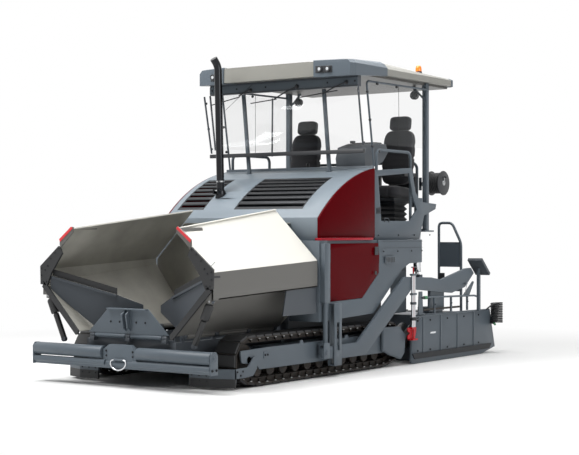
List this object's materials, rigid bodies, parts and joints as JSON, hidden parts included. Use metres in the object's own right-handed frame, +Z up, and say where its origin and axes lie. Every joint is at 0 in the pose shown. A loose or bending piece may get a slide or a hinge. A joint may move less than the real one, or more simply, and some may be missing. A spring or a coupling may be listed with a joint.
{
  "type": "tracked asphalt paver",
  "caption": "Tracked asphalt paver with folding hopper wings, canopied operator platform and a liftable, extending screed.",
  "frame": {"origin": "on the ground under the centre of the machine's outline", "axes": "+X to the machine's left, +Y towards the rear (the screed), +Z up; the hopper and push rollers are at -Y"},
  "size_m": [2.84, 6.4649, 3.89],
  "materials": {
    "machine_grey": "satin blue-grey enamel",
    "hopper_white": "satin warm white enamel",
    "door_red": "gloss deep red enamel",
    "roof_grey": "satin warm grey enamel",
    "track_iron": "worn rolled steel",
    "bare_steel": "worn plate",
    "black_rubber": "matte",
    "bright_chrome": "polished",
    "exhaust_steel": "heat-darkened steel",
    "clear_glass": "clear",
    "seat_cover": "woven charcoal cover",
    "bellows": "pleated rubber",
    "black_plastic": "textured",
    "beacon_orange": "translucent dome"
  },
  "bodies": {
    "root": {"auger_gearbox": "machine_grey", "beacon": "beacon_orange", "canopy_header": "machine_grey", "canopy_posts": "machine_grey", "canopy_roof": "roof_grey", "chassis": "machine_grey", "conveyor_slats": "bare_steel", "engine_block": "track_iron", "exhaust_stub": "exhaust_steel", "final_drive_covers": "machine_grey", "guide_columns": "machine_grey", "handrails": "machine_grey", "hood": "machine_grey", "hood_grilles": "machine_grey", "hopper_rear_wall": "machine_grey", "levelling_cylinders": "machine_grey", "lift_hangers": "machine_grey", "operator_console": "black_plastic", "platform_deck": "machine_grey", "platform_side_panels": "machine_grey", "seat_left": "seat_cover", "seat_pedestals": "bellows", "seat_right": "seat_cover", "side_body_left": "machine_grey", "side_body_right": "machine_grey", "side_ledges": "door_red", "tow_points": "bright_chrome", "track_frames": "machine_grey", "track_left": "track_iron", "track_right": "track_iron", "track_scraper_plates": "machine_grey", "track_scraper_rubbers": "black_rubber", "track_wheels": "track_iron", "upper_side_panels": "door_red", "windshield": "clear_glass", "windshield_sill": "machine_grey"},
    "push_beam": {"push_beam": "machine_grey"},
    "push_roller_left": {"push_roller_left": "machine_grey"},
    "push_roller_right": {"push_roller_right": "machine_grey"},
    "wing_left": {"wing_left": "hopper_white"},
    "wing_right": {"wing_right": "hopper_white"},
    "front_flap": {"front_flap": "machine_grey"},
    "door_left": {"door_left": "door_red"},
    "door_right": {"door_right": "door_red"},
    "exhaust_stack": {"exhaust_stack": "exhaust_steel"},
    "screed": {"tow_arm_left": "machine_grey", "tow_arm_right": "machine_grey", "screed_frame": "machine_grey"},
    "extension_left": {"screed_extension_left": "machine_grey", "end_gate_left": "machine_grey", "end_gate_controls_left": "machine_grey"},
    "extension_right": {"screed_extension_right": "machine_grey", "end_gate_right": "machine_grey", "end_gate_controls_right": "machine_grey"},
    "lift_barrels": {"lift_barrels": "black_plastic"},
    "lift_rods": {"lift_rods": "bright_chrome"},
    "auger_left": {"auger_left": "bare_steel"},
    "auger_right": {"auger_right": "bare_steel"}
  },
  "joints": [
    {"name": "push_beam_pivot", "type": "hinge", "parent": "root", "child": "push_beam", "pos_m": [0, -3.0825, 0.35], "axis": [0, 0, 1], "range_deg": [-5, 5]},
    {"name": "push_roller_left_spin", "type": "hinge", "parent": "push_beam", "child": "push_roller_left", "pos_m": [0.75, -3.1625, 0.37], "axis": [1, 0, 0], "continuous": true},
    {"name": "push_roller_right_spin", "type": "hinge", "parent": "push_beam", "child": "push_roller_right", "pos_m": [-0.75, -3.1625, 0.37], "axis": [1, 0, 0], "continuous": true},
    {"name": "wing_left_fold", "type": "hinge", "parent": "root", "child": "wing_left", "pos_m": [0.65, -2.1625, 0.56], "axis": [0, 1, 0], "range_deg": [0, 32]},
    {"name": "wing_right_fold", "type": "hinge", "parent": "root", "child": "wing_right", "pos_m": [-0.65, -2.1625, 0.56], "axis": [0, -1, 0], "range_deg": [0, 32]},
    {"name": "front_flap_fold", "type": "hinge", "parent": "root", "child": "front_flap", "pos_m": [0, -3.0445, 0.545], "axis": [1, 0, 0], "range_deg": [0, 85]},
    {"name": "door_left_swing", "type": "hinge", "parent": "root", "child": "door_left", "pos_m": [1.232, -0.9745, 1.2], "axis": [0, 0, -1], "range_deg": [0, 85]},
    {"name": "door_right_swing", "type": "hinge", "parent": "root", "child": "door_right", "pos_m": [-1.232, -0.9745, 1.2], "axis": [0, 0, 1], "range_deg": [0, 85]},
    {"name": "exhaust_fold", "type": "hinge", "parent": "root", "child": "exhaust_stack", "pos_m": [-0.56, -0.7785, 2.194], "axis": [1, 0, 0], "range_deg": [0, 80]},
    {"name": "screed_lift", "type": "hinge", "parent": "root", "child": "screed", "pos_m": [0, -1.0825, 0.29], "axis": [1, 0, 0], "range_deg": [0, 5]},
    {"name": "extension_left_slide", "type": "slide", "parent": "screed", "child": "extension_left", "axis": [1, 0, 0], "range_m": [0, 1.2]},
    {"name": "extension_right_slide", "type": "slide", "parent": "screed", "child": "extension_right", "axis": [-1, 0, 0], "range_m": [0, 1.2]},
    {"name": "lift_barrel_swing", "type": "hinge", "parent": "root", "child": "lift_barrels", "pos_m": [0, 1.3555, 2.06], "axis": [-1, 0, 0], "range_deg": [0, 6.02]},
    {"name": "lift_rod_slide", "type": "slide", "parent": "lift_barrels", "child": "lift_rods", "axis": [0, 0, 1], "range_m": [0, 0.2058]},
    {"name": "auger_left_spin", "type": "hinge", "parent": "root", "child": "auger_left", "pos_m": [0.6, 1.1125, 0.345], "axis": [1, 0, 0], "continuous": true},
    {"name": "auger_right_spin", "type": "hinge", "parent": "root", "child": "auger_right", "pos_m": [-0.6, 1.1125, 0.345], "axis": [1, 0, 0], "continuous": true}
  ],
  "couplings": [
    {"joint": "lift_barrel_swing", "follows": "screed_lift", "ratio": 1.2004},
    {"joint": "lift_rod_slide", "follows": "screed_lift", "m_per_rad": 2.3521}
  ]
}
